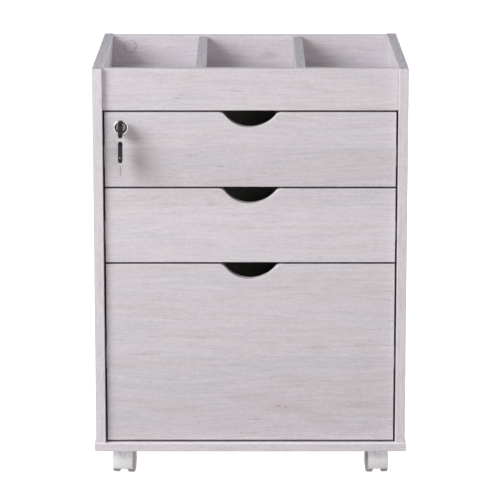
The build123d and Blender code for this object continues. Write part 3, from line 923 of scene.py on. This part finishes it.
@dataclass
class Lock:
    """Lock housing with a dished bezel, cylinder, cam, keys, ring and key pins."""

    zinc: bpy.types.Material
    chrome: Metal = Metal((0.66, 0.65, 0.63), (0.44, 0.43, 0.42), 0.13, (60.0, 60.0, 60.0), 0.4)
    nickel: Metal = Metal((0.34, 0.33, 0.33), (0.24, 0.23, 0.22), 0.34, (500.0, 500.0, 60.0))
    smoke: Metal = Metal((0.17, 0.17, 0.165), (0.09, 0.09, 0.09), 0.22, (700.0, 40.0, 700.0))
    black: MouldedPlastic = MouldedPlastic((0.010, 0.010, 0.012), (0.03, 0.03, 0.03), 0.52, 0.2,
                                           shine=0.2)
    bore_play: float = 0.05 * MM
    flange: float = 2 * MM
    rim: float = 1.1 * MM
    wire: float = 0.40 * MM
    turns: int = 2
    turn_gap: float = 0.36 * MM
    pin: float = 0.7 * MM
    pin_up: float = 9.0 * MM
    pin_proud: float = 0.15 * MM

    def build(self) -> None:
        """Make the housing, the split ring and the two key pins."""
        chrome = self.chrome.make("chrome_plate")
        nickel = self.nickel.make("nickel_plate")
        self.dress(nickel)
        self.housing(chrome)
        self.ring(nickel)
        self.pins(chrome)

    def dress(self, nickel: bpy.types.Material) -> None:
        """Give the frame's lock and key nodes their finishes.

        Args:
            nickel: dull finish of the blades.
        """
        dress("lock_cylinder", self.smoke.make("cylinder_face"))
        for node in ("lock_nut", "lock_cam", "lock_cam_screw"):
            dress(node, self.zinc)
        black = self.black.make("key_plastic")
        for node, finish in (("key_head", black), ("spare_key_head", black),
                             ("key_blade", nickel), ("spare_key_blade", nickel)):
            dress(node, finish)

    def housing(self, chrome: bpy.types.Material) -> None:
        """Turn the housing: a barrel, a bezel with a rolled rim, and a dish inside it.

        The profile is a loop of (distance out of the drawer front, radius): along the barrel,
        round the rim as a half circle, down the dish and back through the bore.

        Args:
            chrome: its finish.
        """
        low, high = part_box("lock_housing")
        rotor_low, rotor_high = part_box("lock_cylinder")
        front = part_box("drawer_1_front")[0].y
        centre = Vector(((low.x + high.x) / 2, front, (low.z + high.z) / 2))
        outer = (high.x - low.x) / 2
        bore = (rotor_high.x - rotor_low.x) / 2 + self.bore_play
        barrel = outer - self.flange
        stand = front - low.y
        rolled = arc((stand - self.rim, outer - self.rim), self.rim, 90, -20, 10)
        loop = np.concatenate([
            np.array([(front - high.y, bore), (front - high.y, barrel), (0.0, barrel),
                      (0.0, outer - 0.3 * MM), (0.3 * MM, outer)]),
            rolled,
            np.array([(stand - 1.6 * MM, bore + 1.0 * MM), (stand - 1.7 * MM, bore)]),
        ])
        made = turned("lock_bezel", loop, centre, Vector((0, -1, 0)), chrome, True, 72)
        fit(made, "drawer_1", "chrome", "lock_housing")

    def ring(self, nickel: bpy.types.Material) -> None:
        """Wind the split ring: two turns of thin wire side by side, crossing over once.

        The path is a circle whose Y shifts by a smooth step half-way along, and the wire's
        radius falls to nothing at each end.

        Args:
            nickel: its finish.
        """
        low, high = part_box("key_ring")
        middle = (low + high) / 2
        radius = (high.x - low.x) / 2 - 0.7 * MM
        along = np.linspace(0, 1, 220)
        angle = along * self.turns * 2 * pi + radians(70)
        shift = (eased((along - 0.46) / 0.08) - 0.5) * 2 * self.turn_gap
        path = np.stack([middle.x + radius * np.cos(angle), middle.y + shift,
                         middle.z + radius * np.sin(angle)], -1)
        ends = np.clip(np.minimum(along, 1 - along) / 0.006, 0, 1)
        made = tube("split_ring", path, self.wire * np.sqrt(ends * (2 - ends)), nickel)
        fit(made, "ring", "chrome", "key_ring")

    def pins(self, chrome: bpy.types.Material) -> None:
        """Set a domed pin through each key's head, square to its thickness.

        The profile is a rod whose two ends are shallow arcs that stand just proud.

        Args:
            chrome: their finish.
        """
        spots = {"key_head": ("lock_rotor", Vector((0, 0, 1))),
                 "spare_key_head": ("spare_key", Vector((0, 1, 0)))}
        for node, (body, axis) in spots.items():
            low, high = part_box(node)
            middle = (low + high) / 2
            half = (high - low).dot(axis) / 2 + self.pin_proud
            if body == "lock_rotor":
                middle.y = high.y - self.pin_up
            else:
                middle.z = low.z + self.pin_up
            dome = arc((0.0, 0.0), self.pin, 0, 90, 5)
            dome = np.stack([half - 0.25 * MM + dome[:, 0] * 0.28, dome[:, 1]], -1)
            profile = np.concatenate([dome, (dome * np.array((-1, 1)))[::-1]])
            made = turned(node + "_pin", profile, middle, axis, chrome, False, 20)
            fit(made, body, "chrome")


@dataclass
class Caster:
    """One hooded twin-wheel caster: hood shell, web, stem boss and two wheels."""

    corner: str
    white: bpy.types.Material
    grey: bpy.types.Material
    zinc: bpy.types.Material
    wall: float = 1.8 * MM
    width: float = 31.6 * MM
    web: float = 12.4 * MM
    boss: float = 6.0 * MM
    soft: float = 0.8 * MM
    rear: float = 160.0
    clearance: float = 3.0 * MM
    hub: float = 8.0 * MM
    blend: float = 0.16
    kingpin: float = 4.05 * MM
    kingpin_depth: float = 6 * MM
    wheel_inner: float = 6.9 * MM
    wheel_width: float = 9.8 * MM
    dome: float = 1.2 * MM

    def __post_init__(self) -> None:
        """Read the axle, the swivel axis and the hood's reach from the frame."""
        spin = joint("wheel_right_spin_" + self.corner)
        turn = joint("swivel_turn_" + self.corner)
        self.axle = Vector(spin["pos_m"])
        self.across = Vector(spin["axis"])
        self.stem = Vector(turn["pos_m"])
        self.up = Vector((0, 0, 1))
        self.back = self.up.cross(self.across)
        low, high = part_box("caster_hood_" + self.corner)
        self.boss_top = high.z
        self.front_edge = low.z
        self.tread = self.axle.z
        self.outer = self.tread + self.clearance

    def build(self) -> None:
        """Make every piece of the caster and dress its axle."""
        dress("caster_axle_" + self.corner, self.zinc)
        body = "swivel_" + self.corner
        fit(self.shell(), body, "white_plastic", "caster_hood_" + self.corner)
        fit(self.yoke(), body, "white_plastic")
        fit(self.stem_boss(), body, "white_plastic")
        for side, sign in (("left", -1), ("right", 1)):
            node = "caster_wheel_%s_%s" % (side, self.corner)
            wheel_body = "wheel_%s_%s" % (side, self.corner)
            fit(self.wheel(side, sign), wheel_body, "grey_plastic", node)

    def at(self, along: np.ndarray, back: np.ndarray, up: np.ndarray) -> np.ndarray:
        """Points from the axle by amounts along it, rearwards and upwards."""
        return (np.array(self.axle) + along[..., None] * np.array(self.across)
                + back[..., None] * np.array(self.back) + up[..., None] * np.array(self.up))

    def shell(self) -> bpy.types.Object:
        """Sweep the hood's rounded section round the wheels.

        The section is a rounded rectangle in (along the axle, radius); it is carried round
        the axle from the front edge over the top to the rear edge, and shrinks to its middle
        line as a half ellipse at both ends.

        Returns:
            The piece.
        """
        half = self.width / 2
        inner = self.outer - self.wall
        corners = [
            arc((half - self.soft, self.outer - self.soft), self.soft, 0, 90, 5),
            arc((-half + self.soft, self.outer - self.soft), self.soft, 90, 180, 5),
            arc((-half + self.soft, inner + self.soft), self.soft, 180, 270, 5),
            arc((half - self.soft, inner + self.soft), self.soft, 270, 360, 5),
        ]
        section = np.concatenate(corners)
        middle = (self.outer + inner) / 2
        start = -np.arcsin((self.axle.z - self.front_edge) / self.outer)
        end = radians(self.rear)
        cap = self.wall / 2 / self.outer
        ramp = (1 - np.cos(np.linspace(0, pi / 2, 7)[:-1])) * cap
        angle = np.concatenate([start + ramp, np.linspace(start + cap, end - cap, 60),
                                (end - ramp)[::-1]])
        from_end = np.minimum(angle - start, end - angle) / cap
        squeeze = np.sqrt(np.clip(1 - (1 - np.clip(from_end, 0, 1)) ** 2, 0, 1))[:, None]
        radius = middle + (section[None, :, 1] - middle) * squeeze
        along = np.broadcast_to(section[None, :, 0], radius.shape)
        along = along * (1 - (1 - squeeze) * self.wall / 2 / half)
        points = self.at(along, -radius * np.cos(angle)[:, None],
                         radius * np.sin(angle)[:, None])
        return piece("hood_shell_" + self.corner, points, self.white, wrap_v=True)

    def yoke(self) -> bpy.types.Object:
        """Make the web between the wheels.

        Its outline in polar form reaches the shell inside the hood's sector and falls to a
        round hub outside it, blended by smooth steps; the rim is rounded over.

        Returns:
            The piece.
        """
        angle = np.linspace(-pi, pi, 120, endpoint=False)
        start = -np.arcsin((self.axle.z - self.front_edge) / self.outer) + 0.10
        end = radians(self.rear) - 0.08
        share = eased((angle - start) / self.blend) * eased((end - angle) / self.blend)
        reach = self.hub + (self.outer - self.wall / 2 - self.hub) * share
        half = self.web / 2
        rim = arc((half - self.soft, -self.soft), self.soft, 0, 90, 4)
        across = np.concatenate([[half], rim[:, 0], -rim[::-1, 0], [-half]])
        inset = np.concatenate([[-1.0], rim[:, 1], rim[::-1, 1], [-1.0]])
        radius = np.where(inset[None, :] < -0.5, 0.0, reach[:, None] + inset[None, :])
        along = np.broadcast_to(across[None, :], radius.shape)
        points = self.at(along, -radius * np.cos(angle)[:, None],
                         radius * np.sin(angle)[:, None])
        return piece("hood_web_" + self.corner, points, self.white, wrap_u=True)

    def stem_boss(self) -> bpy.types.Object:
        """Turn the stem boss: a plain column with a softened rim round the kingpin.

        The profile is (height, radius), up the column, over the rim and down the pin's hole.

        Returns:
            The piece.
        """
        pin = self.kingpin
        top = self.boss_top
        floor = top - self.kingpin_depth
        low = self.axle.z
        rim = arc((top - self.soft, self.boss - self.soft), self.soft, 90, 0, 5)
        loop = np.concatenate([np.array([(low, 0.0), (low, self.boss)]), rim,
                               np.array([(top, pin), (floor, pin), (floor, 0.0)])])
        origin = Vector((self.stem.x, self.stem.y, 0))
        return turned("hood_boss_" + self.corner, loop, origin, self.up, self.white)

    def wheel(self, side: str, sign: int) -> bpy.types.Object:
        """Turn a wheel: crowned tread, ribbed inner face, ring groove and domed outer face.

        The profile is (distance from the caster's middle, radius), from the middle of the
        inner face out over the tread to the middle of the dome.

        Args:
            side: left or right.
            sign: -1 for the left wheel, 1 for the right one.

        Returns:
            The piece.
        """
        inner = self.wheel_inner
        outer = inner + self.wheel_width
        soft = 1.2 * MM
        tread = self.tread
        dome = np.radians(np.linspace(0, 90, 12))[::-1]
        dome_edge = tread - 4.0 * MM
        groove = arc((outer, dome_edge + 1.0 * MM), 0.55 * MM, 90, 270, 6)
        profile = np.concatenate([
            np.array([(inner, 2.1 * MM), (inner, 5.6 * MM), (inner + 0.4 * MM, 6.0 * MM),
                      (inner + 2.4 * MM, 6.0 * MM), (inner + 2.4 * MM, tread - 4.0 * MM),
                      (inner + 0.2 * MM, tread - 3.8 * MM), (inner, tread - 3.5 * MM)]),
            arc((inner + soft, tread - soft - 0.15 * MM), soft, 180, 90, 6),
            np.array([((inner + outer) / 2, tread)]),
            arc((outer - soft, tread - soft - 0.15 * MM), soft, 90, 0, 6),
            groove,
            np.stack([outer + self.dome * np.sin(pi / 2 - dome),
                      dome_edge * np.sin(dome) * 0.985], -1),
        ])
        profile = profile * np.array((sign, 1.0))
        hub = np.array([(profile[0, 0], 0.0)])
        return turned("wheel_%s_%s_disc" % (side, self.corner), np.concatenate([hub, profile]),
                      self.axle, self.across, self.grey, False, 72)


@dataclass
class Studio:
    """Pale sweep, soft lights and the camera."""

    distance: float = 4.241
    height: float = 1.276
    focus: float = 203.8
    tilt: float = 12.06
    sideways: float = -0.0006
    white: Colour = (0.90, 0.90, 0.90)
    cool: Colour = (0.985, 1.0, 1.01)
    warm: Colour = (1.0, 0.955, 0.94)

    def build(self) -> None:
        """Make the whole set."""
        self.sweep()
        self.lamps()
        self.camera()

    def sweep(self) -> None:
        """Turn the paper bowl: a flat floor, a bend, and a wall all round."""
        bend = 2.0
        wall = 8.0
        curve = arc((bend, wall), bend, 180, 90, 24)
        profile = np.concatenate([np.array([(0.0, 0.0)]), curve, np.array([(7.0, wall + bend)])])
        net = Net("backdrop_paper")
        x, y, z = net.place()
        tooth = net.noise(net.vector(x * 14.0, y * 14.0, z * 14.0), 2.0)
        paper = net.surface(
            Base_Color=net.mix(tooth * 0.3, self.white, (0.87, 0.87, 0.87)),
            Roughness=0.9, Emission_Color=(1.0, 1.0, 1.0), Emission_Strength=0.90)
        up = Vector((0, 0, 1))
        made = turned("studio_sweep", profile, Vector((0, 0, 0)), up, paper, segments=96)
        made.visible_diffuse = False
        made.visible_shadow = False

    def lamp(self, name: str, place: Tuple[float, float, float], size: float,
             power: float, colour: Colour = (1.0, 1.0, 1.0)) -> None:
        """Add one square soft light aimed at the middle of the cabinet.

        Args:
            name: the light's name.
            place: where it stands.
            size: side of the square.
            power: watts.
            colour: its tint.
        """
        data = bpy.data.lights.new(name, "AREA")
        data.size = size
        data.energy = power
        data.color = colour
        made = bpy.data.objects.new(name, data)
        made.location = place
        aim = Vector((0, 0, 0.36)) - Vector(place)
        made.rotation_euler = aim.to_track_quat("-Z", "Y").to_euler()
        made.visible_camera = False
        bpy.context.scene.collection.objects.link(made)

    def lamps(self) -> None:
        """Key from the left front, a warmer fill, a low one, one behind, and an even sky."""
        self.lamp("key", (-2.55, -2.25, 2.05), 1.9, 128.0, self.cool)
        self.lamp("fill", (1.3, -4.2, 1.15), 2.6, 63.0, self.warm)
        self.lamp("bounce", (0.0, -1.75, 0.12), 0.8, 1.9, self.warm)
        self.lamp("rear", (2.6, 3.0, 1.1), 2.2, 120.0)
        world = bpy.data.worlds.new("sky")
        world.use_nodes = True
        sky = world.node_tree.nodes["Background"]
        sky.inputs["Color"].default_value = (*self.warm, 1.0)
        sky.inputs["Strength"].default_value = 0.10
        bpy.context.scene.world = world

    def camera(self) -> None:
        """Set the camera in front, looking down a little, with a long lens."""
        data = bpy.data.cameras.new("camera")
        data.lens = self.focus
        data.sensor_width = 36.0
        data.clip_end = 100.0
        made = bpy.data.objects.new("camera", data)
        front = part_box("side_panel_left")[0].y
        made.location = (self.sideways, front - self.distance, self.height)
        made.rotation_euler = (radians(90 - self.tilt), 0, 0)
        bpy.context.scene.collection.objects.link(made)
        bpy.context.scene.camera = made
        bpy.context.scene.view_settings.view_transform = "Standard"


def main() -> None:
    """Build the looks piece by piece."""
    logging.basicConfig(level=logging.INFO, format="%(message)s")
    zinc = Metal((0.60, 0.61, 0.62), (0.42, 0.42, 0.41), 0.26).make("zinc_plate")
    # The last number of each plastic is the height below which it darkens, partly grime and
    # partly painted shade.
    white = MouldedPlastic((0.94, 0.935, 0.965), (0.62, 0.56, 0.52), 0.34, 0.08, 0.009)
    grey = MouldedPlastic((0.57, 0.52, 0.50), (0.26, 0.20, 0.18), 0.42, 0.25, 0.008)
    hood = white.make("hood_plastic")
    wheel = grey.make("wheel_plastic")
    Carcass(zinc).dress()
    Drawers(zinc).dress()
    Lock(zinc).build()
    for corner in ("front_left", "front_right", "rear_left", "rear_right"):
        Caster(corner, hood, wheel, zinc).build()
    Studio().build()


if __name__ == "__main__":
    main()
